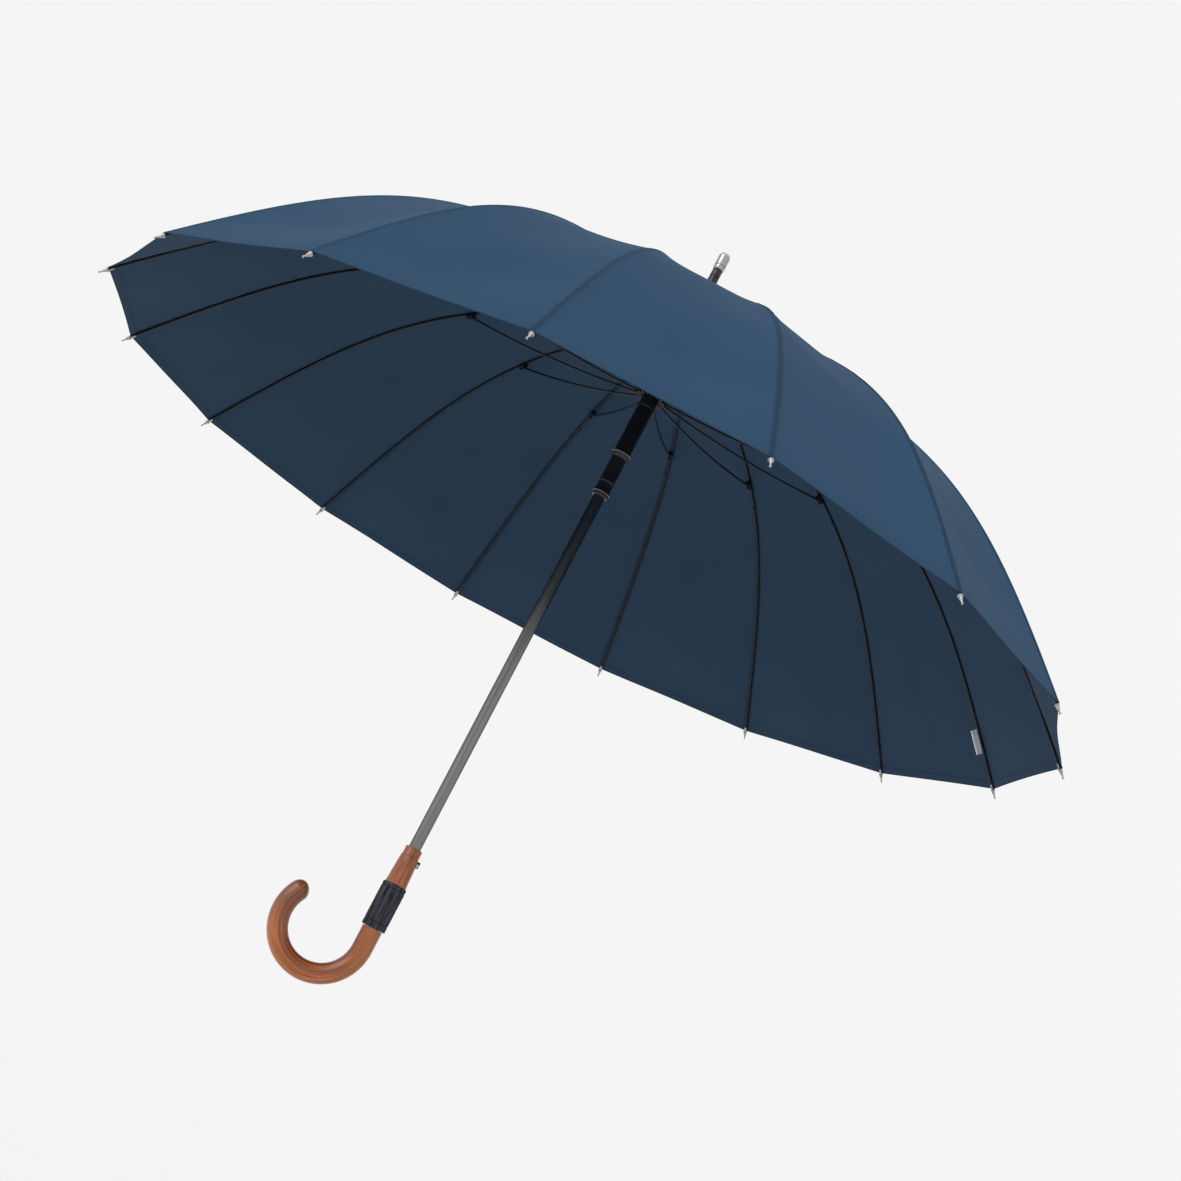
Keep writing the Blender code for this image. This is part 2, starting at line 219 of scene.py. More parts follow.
def aim_camera():
    """Looks up at the open umbrella from its front, with the shaft leaning across the view."""
    data = bpy.data.cameras.new("camera")
    data.lens = LENS
    data.sensor_width = 36
    data.clip_start = 0.05
    data.clip_end = 200
    camera = placed("camera", data)
    ahead = (CAMERA_AHEAD - CAMERA_RIGHT * CAMERA_AHEAD.dot(CAMERA_RIGHT)).normalized()
    above = CAMERA_RIGHT.cross(ahead)
    axes = Matrix((CAMERA_RIGHT, above, -ahead)).transposed().to_4x4()
    camera.matrix_world = Matrix.Translation(CAMERA_PLACE) @ axes
    bpy.context.scene.camera = camera


def add_sun(name, source, strength, spread):
    data = bpy.data.lights.new(name, "SUN")
    data.energy = strength
    data.angle = math.radians(spread)
    lamp = placed(name, data)
    lamp.matrix_world = Vector(source).to_track_quat("Z", "Y").to_matrix().to_4x4()


def light_studio():
    world = bpy.data.worlds.new("studio")
    bpy.context.scene.world = world
    world.use_nodes = True
    backdrop = world.node_tree.nodes["Background"]
    backdrop.inputs["Color"].default_value = (BACKDROP, BACKDROP, BACKDROP, 1)
    backdrop.inputs["Strength"].default_value = 1.0
    add_sun("key_light", (-0.70, -0.62, 0.62), strength=1.15, spread=40)
    add_sun("top_light", (0.10, -0.15, 1.0), strength=0.55, spread=60)


def lay_floor():
    deselect()
    bpy.ops.mesh.primitive_plane_add(size=FLOOR_SIZE, location=(0, 0, FLOOR_Z))
    floor = bpy.context.object
    floor.name = "floor"
    made, tree, _ = new_finish("pale_floor", 0.9)
    clouds = object_noise(tree, (2, 2, 2))
    shade_range(made, (0.690, 0.690, 0.690), (0.705, 0.705, 0.705), clouds)
    floor.data.materials.append(made)


# Modelling


def deselect():
    if bpy.context.mode != "OBJECT":
        bpy.ops.object.mode_set(mode="OBJECT")
    bpy.ops.object.select_all(action="DESELECT")


def pick(piece):
    deselect()
    piece.select_set(True)
    bpy.context.view_layer.objects.active = piece


def edit_whole():
    bpy.ops.object.mode_set(mode="EDIT")
    bpy.ops.mesh.select_all(action="SELECT")


def named(name):
    piece = bpy.context.object
    piece.name = name
    piece.data.name = name
    return piece


def settle(piece):
    """Applies what is live on a piece, and puts its place into its mesh."""
    pick(piece)
    for modifier in list(piece.modifiers):
        bpy.ops.object.modifier_apply(modifier=modifier.name)
    bpy.ops.object.transform_apply(location=True, rotation=True, scale=True)
    return piece


def close_up(piece):
    """Merges doubled points and turns the faces outwards."""
    pick(piece)
    edit_whole()
    bpy.ops.mesh.remove_doubles(threshold=0.000002)
    bpy.ops.mesh.normals_make_consistent(inside=False)
    bpy.ops.object.mode_set(mode="OBJECT")
    return piece


def soften(piece, width, segments=3, angle=30):
    bevel = piece.modifiers.new("edges", "BEVEL")
    bevel.width = width
    bevel.segments = segments
    bevel.limit_method = "ANGLE"
    bevel.angle_limit = math.radians(angle)
    return settle(piece)


def cut_away(piece, cutter):
    cut = piece.modifiers.new("cut", "BOOLEAN")
    cut.operation = "DIFFERENCE"
    cut.solver = "EXACT"
    cut.object = cutter
    settle(piece)
    bpy.data.objects.remove(cutter)


def round_shade(piece, angle=35):
    pick(piece)
    bpy.ops.object.shade_smooth_by_angle(angle=math.radians(angle))
    return piece


def turned(name, outline, closed=False, sides=ROUND):
    """A turned body: a ring, extruded and scaled from each step of its outline to the next."""
    radius, height = outline[0]
    deselect()
    bpy.ops.mesh.primitive_circle_add(
        vertices=sides,
        radius=radius,
        fill_type="NOTHING" if closed else "NGON",
        location=(0, 0, height),
    )
    piece = named(name)
    edit_whole()
    for next_radius, next_height in outline[1:]:
        rise = (0, 0, next_height - height)
        if closed:
            bpy.ops.mesh.extrude_edges_move(TRANSFORM_OT_translate={"value": rise})
        else:
            bpy.ops.mesh.extrude_region_move(TRANSFORM_OT_translate={"value": rise})
        grow = next_radius / radius
        bpy.ops.transform.resize(value=(grow, grow, 1))
        radius, height = next_radius, next_height
    bpy.ops.object.mode_set(mode="OBJECT")
    settle(piece)
    return close_up(piece)


def arc(centre_radius, centre_height, size, start, end, steps):
    """The outline's points along a round corner, from one angle to another in degrees."""
    turns = [math.radians(start + (end - start) * i / steps) for i in range(steps + 1)]
    return [
        (centre_radius + size * math.cos(turn), centre_height + size * math.sin(turn))
        for turn in turns
    ]


def joined(name, *pieces):
    deselect()
    for piece in pieces:
        piece.select_set(True)
    bpy.context.view_layer.objects.active = pieces[0]
    bpy.ops.object.join()
    return named(name)


def finished(piece, body, slot, *finishes):
    for finish in finishes:
        piece.data.materials.append(finish)
    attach(piece, body)
    return piece


def copied_round(pattern, stem, body, slot, finish, replaced=None):
    """One copy of a rib's piece for every rib, each with its own mesh, turned to its place."""
    for index in range(RIBS):
        piece = placed(rib_name(stem, index), pattern.data.copy())
        piece.data.name = piece.name
        piece.data.transform(rib_turn(index))
        finished(piece, rib_name(body, index), slot, finish)
        if replaced:
            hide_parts(rib_name(replaced, index))
    bpy.data.objects.remove(pattern)


# Finishes


def new_finish(name, roughness, metallic=0.0, specular=0.5, coat=0.0, edge=1.0):
    made = bpy.data.materials.new(name)
    made.use_nodes = True
    tree = made.node_tree
    shader = tree.nodes["Principled BSDF"]
    shader.inputs["Roughness"].default_value = roughness
    shader.inputs["Metallic"].default_value = metallic
    shader.inputs["Specular IOR Level"].default_value = specular
    shader.inputs["Coat Weight"].default_value = coat
    shader.inputs["Coat Roughness"].default_value = 0.12
    shader.inputs["Specular Tint"].default_value = (edge, edge, edge, 1)
    return made, tree, shader


def mapped(tree, source, scale):
    """The source's coordinates, stretched by scale on each axis."""
    mapping = tree.nodes.new("ShaderNodeMapping")
    mapping.inputs["Scale"].default_value = scale
    tree.links.new(source, mapping.inputs["Vector"])
    return mapping.outputs["Vector"]


def object_place(tree):
    return tree.nodes.new("ShaderNodeTexCoord").outputs["Object"]


def noise(tree, place, detail=4.0, roughness=0.55, distortion=0.0):
    made = tree.nodes.new("ShaderNodeTexNoise")
    made.inputs["Scale"].default_value = 1.0
    made.inputs["Detail"].default_value = detail
    made.inputs["Roughness"].default_value = roughness
    made.inputs["Distortion"].default_value = distortion
    tree.links.new(place, made.inputs["Vector"])
    return made.outputs["Fac"]


def object_noise(tree, scale, detail=4.0):
    return noise(tree, mapped(tree, object_place(tree), scale), detail)


def own_value(tree, name, socket="Fac"):
    attribute = tree.nodes.new("ShaderNodeAttribute")
    attribute.attribute_name = name
    return attribute.outputs[socket]


def colour_ramp(tree, value, *stops):
    """Colours by a value from 0 to 1. Each stop is its place and its colour."""
    ramp = tree.nodes.new("ShaderNodeValToRGB")
    elements = ramp.color_ramp.elements
    for i, (place, colour) in enumerate(stops):
        element = elements[i] if i < 2 else elements.new(place)
        element.position = place
        element.color = (*colour, 1)
    tree.links.new(value, ramp.inputs["Fac"])
    return ramp.outputs["Color"]


def mixed(tree, share, first, second, kind="MIX"):
    mix = tree.nodes.new("ShaderNodeMix")
    mix.data_type = "RGBA"
    mix.blend_type = kind
    for value, socket in zip((share, first, second), ("Factor", "A", "B")):
        target = [s for s in mix.inputs if s.name == socket and s.enabled][0]
        if isinstance(value, (int, float)):
            target.default_value = value
        elif isinstance(value, tuple):
            target.default_value = (*value, 1)
        else:
            tree.links.new(value, target)
    return [s for s in mix.outputs if s.enabled][0]


def reckoned(tree, kind, *values):
    sum_node = tree.nodes.new("ShaderNodeMath")
    sum_node.operation = kind
    for value, socket in zip(values, sum_node.inputs):
        if isinstance(value, (int, float)):
            socket.default_value = value
        else:
            tree.links.new(value, socket)
    return sum_node.outputs[0]


def shade_range(made, dark, light, value):
    tree = made.node_tree
    colour = colour_ramp(tree, value, (0.3, dark), (0.7, light))
    tree.links.new(colour, tree.nodes["Principled BSDF"].inputs["Base Color"])


def gloss_range(made, low, high, value):
    tree = made.node_tree
    spread = tree.nodes.new("ShaderNodeMapRange")
    spread.inputs["To Min"].default_value = low
    spread.inputs["To Max"].default_value = high
    tree.links.new(value, spread.inputs["Value"])
    tree.links.new(spread.outputs["Result"], tree.nodes["Principled BSDF"].inputs["Roughness"])


def relief(made, height, depth, strength=1.0):
    tree = made.node_tree
    bump = tree.nodes.new("ShaderNodeBump")
    bump.inputs["Distance"].default_value = depth
    bump.inputs["Strength"].default_value = strength
    tree.links.new(height, bump.inputs["Height"])
    tree.links.new(bump.outputs["Normal"], tree.nodes["Principled BSDF"].inputs["Normal"])


def woven_cloth(name, dark, light, seam_shade):
    """Fine matt plain-weave cloth, with shade painted along its seams, hem edges and selvedges."""
    made, tree, shader = new_finish(name, 0.8, specular=0.10)
    place = tree.nodes.new("ShaderNodeUVMap")
    place.uv_map = "cloth"
    laid = place.outputs["UV"]
    cloud = noise(tree, mapped(tree, laid, (9, 6, 1)), 5.0)
    slub = noise(tree, mapped(tree, laid, (2200, 90, 1)), 2.0)
    weft = noise(tree, mapped(tree, laid, (90, 2200, 1)), 2.0)
    threads = reckoned(tree, "MULTIPLY_ADD", reckoned(tree, "ADD", slub, weft), 0.16, -0.16)
    tone = reckoned(tree, "ADD", cloud, threads)
    colour = colour_ramp(tree, tone, (0.3, dark), (0.7, light))
    # Painted shade: the darker seam colour is mixed in along seams, hems and selvedges.
    colour = mixed(tree, own_value(tree, "seam_shade"), colour, seam_shade)
    tree.links.new(colour, shader.inputs["Base Color"])
    waves = []
    for direction in ("X", "Y"):
        wave = tree.nodes.new("ShaderNodeTexWave")
        wave.bands_direction = direction
        wave.inputs["Scale"].default_value = 320
        wave.inputs["Distortion"].default_value = 0.4
        tree.links.new(laid, wave.inputs["Vector"])
        waves.append(wave.outputs["Fac"])
    weave = reckoned(tree, "MULTIPLY", *waves)
    gloss_range(made, 0.74, 0.86, cloud)
    relief(made, weave, 0.00006, 0.6)
    return made


def lacquered_wood():
    """Reddish-brown wood with long grain along the stick, under a clear lacquer."""
    made, tree, shader = new_finish("lacquered_wood", 0.3, specular=0.3, coat=0.35)
    grain = own_value(tree, "grain", "Vector")
    bands = noise(tree, mapped(tree, grain, (150, 150, 5)), 6.0, 0.6, 1.2)
    pores = noise(tree, mapped(tree, grain, (900, 900, 26)), 3.0, 0.7)
    patch = noise(tree, mapped(tree, grain, (34, 34, 13)), 3.0)
    colour = colour_ramp(
        tree,
        bands,
        (0.25, (0.170, 0.042, 0.012)),
        (0.45, (0.340, 0.105, 0.030)),
        (0.60, (0.520, 0.190, 0.058)),
        (0.78, (0.660, 0.290, 0.110)),
    )
    streak = colour_ramp(tree, pores, (0.30, (0.42, 0.34, 0.30)), (0.52, (1, 1, 1)))
    colour = mixed(tree, 0.65, colour, streak, "MULTIPLY")
    darker_tone = colour_ramp(tree, patch, (0.32, (0.62, 0.42, 0.40)), (0.60, (1, 1, 1)))
    colour = mixed(tree, 0.7, colour, darker_tone, "MULTIPLY")
    # Darker towards the crook's nose and on the inside of its bend.
    colour = mixed(tree, own_value(tree, "darkening"), colour, (0.085, 0.026, 0.020))
    tree.links.new(colour, shader.inputs["Base Color"])
    gloss_range(made, 0.26, 0.42, patch)
    relief(made, pores, 0.00005, 0.35)
    return made


def drawn_metal(name, dark, light, roughness, metallic=1.0, scale=(900, 900, 8), edge=1.0):
    """Metal with the fine lengthwise lines of drawing or brushing; on the black band the light lines are
    painted highlights.
    """
    made, tree, _ = new_finish(name, roughness, metallic, edge=edge)
    lines = object_noise(tree, scale, 3.0)
    shade_range(made, dark, light, lines)
    gloss_range(made, roughness * 0.8, roughness * 1.25, object_noise(tree, (60, 60, 20)))
    relief(made, lines, 0.00002, 0.5)
    return made


def moulded_plastic(name, dark, light, roughness, grit=1500, depth=0.00003):
    made, tree, _ = new_finish(name, roughness)
    fine = object_noise(tree, (grit, grit, grit), 3.0)
    shade_range(made, dark, light, object_noise(tree, (45, 45, 45)))
    gloss_range(made, roughness * 0.85, roughness * 1.2, fine)
    relief(made, fine, depth, 0.5)
    return made


# Each cloth's seam colour is painted shade for the grooves along its seams, hem and selvedges.
FINISH = {
    "cloth_out": woven_cloth(
        "navy_cloth",
        dark=(0.0160, 0.0475, 0.0935),
        light=(0.0195, 0.0560, 0.1075),
        seam_shade=(0.0115, 0.0335, 0.0650),
    ),
    "cloth_in": woven_cloth(
        "navy_cloth_underside",
        dark=(0.0222, 0.0470, 0.0850),
        light=(0.0258, 0.0540, 0.0965),
        seam_shade=(0.0130, 0.0290, 0.0540),
    ),
    "strap": woven_cloth(
        "strap_cloth",
        dark=(0.007, 0.016, 0.030),
        light=(0.012, 0.025, 0.044),
        seam_shade=(0.004, 0.009, 0.017),
    ),
    "label": woven_cloth(
        "label_satin",
        dark=(0.88, 0.88, 0.87),
        light=(0.95, 0.95, 0.94),
        seam_shade=(0.72, 0.72, 0.72),
    ),
    "wood": lacquered_wood(),
    "shaft": drawn_metal(
        "shaft_steel", (0.150, 0.148, 0.146), (0.250, 0.248, 0.245), roughness=0.24, edge=0.05
    ),
    "ferrule": drawn_metal(
        "ferrule_lacquer", (0.006, 0.006, 0.007), (0.012, 0.012, 0.014), roughness=0.22, metallic=0.2
    ),
    # Black band: the light bluish streaks in its colour are painted highlights.
    "band": drawn_metal(
        "band_lacquer_painted_highlights", (0.002, 0.002, 0.003), (0.075, 0.080, 0.098),
        roughness=0.22, metallic=0.75, scale=(360, 360, 40), edge=0.3,
    ),
    "bright": drawn_metal(
        "bright_metal", (0.30, 0.29, 0.28), (0.44, 0.43, 0.42), roughness=0.24, scale=(300, 300, 300)
    ),
    "plastic": moulded_plastic(
        "runner_plastic", (0.004, 0.004, 0.005), (0.008, 0.008, 0.010), roughness=0.36
    ),
    "rib": drawn_metal(
        "rib_steel", (0.006, 0.010, 0.016), (0.012, 0.017, 0.026),
        roughness=0.40, metallic=0.5, scale=(700, 700, 60),
    ),
    "thread": moulded_plastic(
        "navy_thread", (0.006, 0.012, 0.020), (0.012, 0.022, 0.036),
        roughness=0.8, grit=4000, depth=0.00005,
    ),
}


# Rib curve, as points and outward normals in the plane of a rib


def rib_point(t):
    t = np.asarray(t, float)[..., None]
    u = 1 - t
    return u**3 * START + 3 * u * u * t * FIRST + 3 * u * t * t * SECOND + t**3 * END


def rib_heading(t):
    t = np.asarray(t, float)[..., None]
    u = 1 - t
    run = u * u * (FIRST - START) + 2 * u * t * (SECOND - FIRST) + t * t * (END - SECOND)
    return run / np.linalg.norm(run, axis=-1, keepdims=True)


def rib_normal(t):
    run = rib_heading(t)
    return np.stack((-run[..., 1], run[..., 0]), -1)


SHARES = np.linspace(0, 1, 2001)
LENGTHS = np.concatenate(
    ([0], np.cumsum(np.linalg.norm(np.diff(rib_point(SHARES), axis=0), axis=1)))
)
CROWN_LENGTH = float(np.interp(CROWN_RADIUS, rib_point(SHARES)[:, 0], LENGTHS))
HEM_LENGTH = float(np.interp(HEM_AT, SHARES, LENGTHS))
GORE_LENGTH = HEM_LENGTH - CROWN_LENGTH


# Canopy


def wave_along(length, seed):
    """A small uneven wave along a seam, as sewing draws the cloth up."""
    phases = np.random.default_rng(seed).uniform(0, 2 * math.pi, 3)
    return sum(
        share * np.sin(2 * math.pi * length / pitch + phase)
        for (share, pitch), phase in zip(PUCKER_WAVES, phases)
    )


def cloth_base(t, offset):
    """The stretched cloth at a distance from its rib, and its normals. Below zero is past the rib."""
    place = rib_point(t) + CLOTH_LIFT * rib_normal(t)
    radius, height = place[..., 0], place[..., 1]
    chord = 2 * radius * math.sin(RIB_STEP / 2)
    across = np.clip(np.abs(offset) / chord, 0, 1)
    normal = rib_normal(t)
    out, up = normal[..., 0], normal[..., 1]
    turn = RIB_STEP * across
    near = np.stack((out * np.cos(turn), out * np.sin(turn), up), -1)
    middle = np.stack(
        (out * math.cos(RIB_STEP / 2), out * math.sin(RIB_STEP / 2), up), -1
    )
    straight = np.stack(
        (
            radius * (1 - across + math.cos(RIB_STEP) * across),
            radius * math.sin(RIB_STEP) * across,
            height,
        ),
        -1,
    )
    bow = 4 * across * (1 - across)
    slack = CLOTH_SAG * (1 - HEM_TAUT * smooth(t, TAUT_FROM, 1.0))
    points = straight - (slack * chord * bow)[..., None] * middle
    side = np.where(offset < 0, -1.0, 1.0)
    points[..., 1] *= side
    near[..., 1] *= side
    return points, near, chord, across


def gore_grid():
    """The rows of a gore, how far it has narrowed in each, and its points' distances from its rib."""
    rows = np.concatenate((HEM_ROWS, np.linspace(BODY_START, GORE_LENGTH, BODY_ROWS)))
    t_rows = np.interp(HEM_LENGTH - rows, LENGTHS, SHARES)
    chord = cloth_base(t_rows, 0 * t_rows)[2][:, None]
    shrink = np.clip(chord / NARROW_GORE, 0, 1)
    own = OWN_SEAM[None] * shrink
    far = chord - FAR_SEAM[None] * shrink
    middle = np.arange(1, BODY_COLUMNS) / BODY_COLUMNS
    inner = own[:, -1:] + (far[:, :1] - own[:, -1:]) * middle[None]
    offset = np.concatenate((own, inner, far), axis=1)
    return rows[:, None], chord, shrink, offset


def bell(distance, width):
    return np.exp(-((distance / width) ** 2))


def gore_surfaces(index):
    """The upper and lower faces of one gore, its cloth coordinates, and the shade painted near its seams
    and hem.
    """
    rows, chord, shrink, offset = gore_grid()
    across = np.clip(np.abs(offset) / chord, 0, 1)
    bow = 4 * across * (1 - across)
    taper = np.clip(1 - rows / HEM_SAG_REACH, 0, 1)
    length = HEM_LENGTH - rows - HEM_SAG * bow * taper
    t = np.interp(length, LENGTHS, SHARES)
    points, normals, chord, across = cloth_base(t, offset)

    reach = PUCKER_REACH * shrink
    near_own = np.abs(offset) / reach
    near_far = np.clip(chord - np.abs(offset), 0, None) / reach
    height = PUCKER * near_own * np.exp(1 - near_own) * wave_along(length, index)
    far_wave = wave_along(length, (index + 1) % RIBS)
    height += PUCKER * near_far * np.exp(1 - near_far) * far_wave
    phases = np.random.default_rng(50 + index).uniform(0, 2 * math.pi, 4)
    ripple = sum(
        share * np.sin(2 * math.pi * length / pitch + lean * across + phase)
        for (share, pitch, lean), phase in zip(WRINKLE_WAVES, phases)
    )
    height += WRINKLE * bow * ripple
    gather = np.sin(2 * math.pi * offset / GATHER_PITCH + phases[3]) * np.exp(-rows / GATHER_REACH)
    height += GATHER * bow * gather * smooth(rows, 0, 0.010)
    edge = offset / shrink
    height += LAP_RAISE * (1 - smooth(edge, 0.0010, 0.0019))
    stitched = bell(edge + STITCH_INSET, STITCH_WIDTH) * (edge < 0)
    hem_line = bell(rows - HEM_WIDTH + HEM_STITCH_INSET, HEM_STITCH_WIDTH)
    top = height + CLOTH_THICKNESS - STITCH_SINK * stitched - HEM_STITCH_SINK * hem_line
    doubled = 1 - smooth(rows, HEM_WIDTH - 0.0003, HEM_WIDTH + 0.0003)
    doubled = doubled * smooth(edge, 0.0020, 0.0036)
    doubled = doubled * smooth(near_far * PUCKER_REACH, 0.0018, 0.0036)
    bottom = height - HEM_FOLD * doubled

    # Painted shade along the lapped seam, at the hem's edge and on the hem's stitch line.
    seam_shade = (1 - smooth(edge, 0.0002, 0.0016)) * smooth(edge, -0.0035, -0.0026)
    seam_shade = np.maximum(seam_shade, 0.45 * (1 - smooth(rows, 0.0008, 0.0020)))
    seam_shade = np.maximum(seam_shade, 0.35 * hem_line)
    upper = points + top[..., None] * normals
    lower = points + bottom[..., None] * normals
    return upper, lower, np.stack((offset, length), -1), seam_shade


def sheet_mesh(name, upper, lower, laid, seam_shade=None, edge_slot=0):
    """A closed thin sheet from its two faces, which are grids of the same size."""
    rows, columns = upper.shape[:2]
    count = rows * columns
    index = np.arange(count).reshape(rows, columns)
    quads = np.stack((index[:-1, :-1], index[:-1, 1:], index[1:, 1:], index[1:, :-1]), -1)
    quads = quads.reshape(-1, 4)
    rim = np.concatenate((index[0], index[1:, -1], index[-1, -2::-1], index[-2:0:-1, 0]))
    ahead = np.roll(rim, -1)
    walls = np.stack((rim, rim + count, ahead + count, ahead), -1)
    faces = np.concatenate((quads, quads[:, ::-1] + count, walls))
    mesh = bpy.data.meshes.new(name)
    points = np.concatenate((upper.reshape(-1, 3), lower.reshape(-1, 3)))
    mesh.from_pydata(points.tolist(), [], faces.tolist())
    slots = np.concatenate(
        (np.zeros(len(quads)), np.ones(len(quads)), np.full(len(walls), edge_slot))
    )
    mesh.polygons.foreach_set("material_index", slots.astype(np.int32))
    flat = np.concatenate((laid.reshape(-1, 2), laid.reshape(-1, 2)))
    cloth = mesh.uv_layers.new(name="cloth")
    cloth.data.foreach_set("uv", flat[faces.ravel()].ravel())
    # Stores the painted seam shade that the cloth finish mixes in.
    mark = mesh.attributes.new("seam_shade", "FLOAT", "POINT")
    if seam_shade is None:
        seam_shade = np.zeros((rows, columns))
    mark.data.foreach_set("value", np.tile(seam_shade.ravel(), 2).astype(np.float32))
    outwards = bmesh.new()
    outwards.from_mesh(mesh)
    bmesh.ops.recalc_face_normals(outwards, faces=outwards.faces)
    outwards.to_mesh(mesh)
    outwards.free()
    mesh.shade_smooth()
    return placed(name, mesh)


def folds_with(piece):
    """Gives the piece a mesh of its own."""
    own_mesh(piece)


def build_gores():
    for index in range(RIBS):
        upper, lower, laid, seam_shade = gore_surfaces(index)
        gore = sheet_mesh(rib_name("canopy_gore", index), upper, lower, laid, seam_shade)
        gore.data.transform(rib_turn(index))
        finished(gore, rib_name("spoke", index), "canopy_cloth", FINISH["cloth_out"], FINISH["cloth_in"])
        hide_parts(rib_name("canopy_panel", index))
        folds_with(gore)


def build_rosette():
    """The round cloth patch over the crown, gathered under the ferrule."""
    spokes = 192
    radii = np.concatenate(
        (np.linspace(0.0066, 0.0150, 10), np.linspace(0.0158, 0.0214, 9), (0.0217, 0.0219))
    )
    turn = np.linspace(0, 2 * math.pi, spokes + 1)[None]
    radius = radii[:, None] * (1 + 0.012 * smooth(radii, 0.017, 0.022)[:, None] * np.cos(48 * turn))
    fall = 0.0021 * smooth(radii, 0.0145, 0.0230)[:, None]
    pleat = 0.00035 * smooth(radii, 0.0085, 0.0130)[:, None] * np.cos(16 * turn)
    pleat = pleat + 0.00012 * np.cos(48 * turn) * smooth(radii, 0.0100, 0.0200)[:, None]
    height = CAP[0].z + 0.0011 - fall + pleat
    lower = np.stack(
        (radius * np.cos(turn), radius * np.sin(turn), height + 0 * radius), -1
    )
    upper = lower + np.array((0, 0, 0.0005))
    laid = upper[..., :2]
    # Painted shade in a ring where the rosette's edge is sewn.
    seam_shade = 0.7 * np.exp(-(((radii - 0.0202) / 0.0005) ** 2))[:, None] + 0 * turn
    cap = sheet_mesh("crown_rosette", upper, lower, laid, seam_shade)
    close_up(cap)
    finished(cap, "shaft", "canopy_cloth", FINISH["cloth_out"], FINISH["cloth_out"])
    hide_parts("canopy_cap")


def tie_axes(along, share):
    """A place on the outer cloth, with its directions to the hem, sideways and outwards."""
    t = np.array(along)
    chord = cloth_base(t, 0 * t)[2]
    here = Vector(cloth_base(t, share * chord)[0])
    ahead = Vector(cloth_base(t + 0.01, share * chord)[0]) - here
    aside = Vector(cloth_base(t, (share + 0.05) * chord)[0]) - here
    ahead.normalize()
    outward = aside.cross(ahead).normalized()
    if outward.z < 0:
        outward.negate()
    aside = outward.cross(ahead)
    turn = rib_turn(STRAP_GORE)
    return turn @ Matrix.Translation(here) @ Matrix((ahead, aside, outward)).transposed().to_4x4()


def ribbon(name, path, width, thickness, place):
    """A band of cloth on a path of (forward, outward) points, with its two selvedges."""
    path = np.asarray(path, float)
    run = np.gradient(path, axis=0)
    run /= np.linalg.norm(run, axis=1, keepdims=True)
    normal = np.stack((-run[:, 1], run[:, 0]), -1)
    sides = np.array((-1, -0.985, -0.90, -0.84, -0.6, -0.2, 0.2, 0.6, 0.84, 0.90, 0.985, 1)) * width / 2
    length = np.concatenate(([0], np.cumsum(np.linalg.norm(np.diff(path, axis=0), axis=1))))
    selvedge = np.exp(-(((np.abs(sides) / (width / 2) - 0.87) / 0.03) ** 2))
    faces = []
    for level in (0.5, -0.5):
        middle = path + normal * thickness * level
        grid = np.empty((len(path), len(sides), 3))
        dip = -0.00015 * selvedge * (1 if level > 0 else -1)
        grid[..., 0] = middle[:, :1] + normal[:, :1] * dip
        grid[..., 1] = sides[None]
        grid[..., 2] = middle[:, 1:] + normal[:, 1:] * dip
        faces.append(grid)
    laid = np.stack(np.meshgrid(sides, length), -1)
    # Painted shade along the ribbon's two selvedges, where the cloth dips.
    seam_shade = 0.6 * selvedge[None] + 0 * length[:, None]
    piece = sheet_mesh(name, faces[0], faces[1], laid, seam_shade)
    piece.data.transform(place)
    return piece


def loop_top(x):
    """The height of the strap's upper run, which sinks towards its sewn end."""
    sunk = LOOP_SINK * smooth(STRAP_OUT - x, 0, STRAP_OUT - STRAP_IN)
    return LOOP_LOW + 2 * LOOP_RADIUS - sunk + 0.0005 * np.sin(x * 110)


def build_tie_strap():
    """The strap that ties the rolled umbrella, here folded back on itself into a soft loop."""
    out = np.linspace(STRAP_IN, STRAP_OUT, 30)
    path = [(x, LOOP_LOW + 0.0004 * math.sin((x - STRAP_IN) * 105)) for x in out]
    path += arc(STRAP_OUT, LOOP_LOW + LOOP_RADIUS, LOOP_RADIUS, -90, 90, 13)[1:-1]
    path += [(x, loop_top(x)) for x in np.linspace(STRAP_OUT, STRAP_IN * 0.86, 30)]
    lift = Matrix.Translation((0, 0, CLOTH_THICKNESS + 0.0006))
    place = tie_axes(STRAP_ALONG, STRAP_ACROSS) @ lift
    strap = ribbon("tie_strap_loop", path, STRAP_WIDTH, STRAP_THICKNESS, place)
    finished(strap, "spoke_05", "canopy_cloth", FINISH["strap"], FINISH["strap"])
    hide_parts("tie_strap")
    outline = [(0.0044, 0), (0.0046, 0.0004), (0.0042, 0.0009)]
    outline += [(0.0026, 0.0012), (0.0022, 0.0007), (0.0003, 0.0006)]
    stud = turned("strap_snap", outline, sides=32)
    snap_x = STRAP_IN * 0.6
    stud.data.transform(place @ Matrix.Translation((snap_x, 0, loop_top(snap_x) + 0.0003)))
    round_shade(stud, 50)
    finished(stud, "spoke_05", "bright_metal", FINISH["bright"])
    folds_with(strap)
    folds_with(stud)


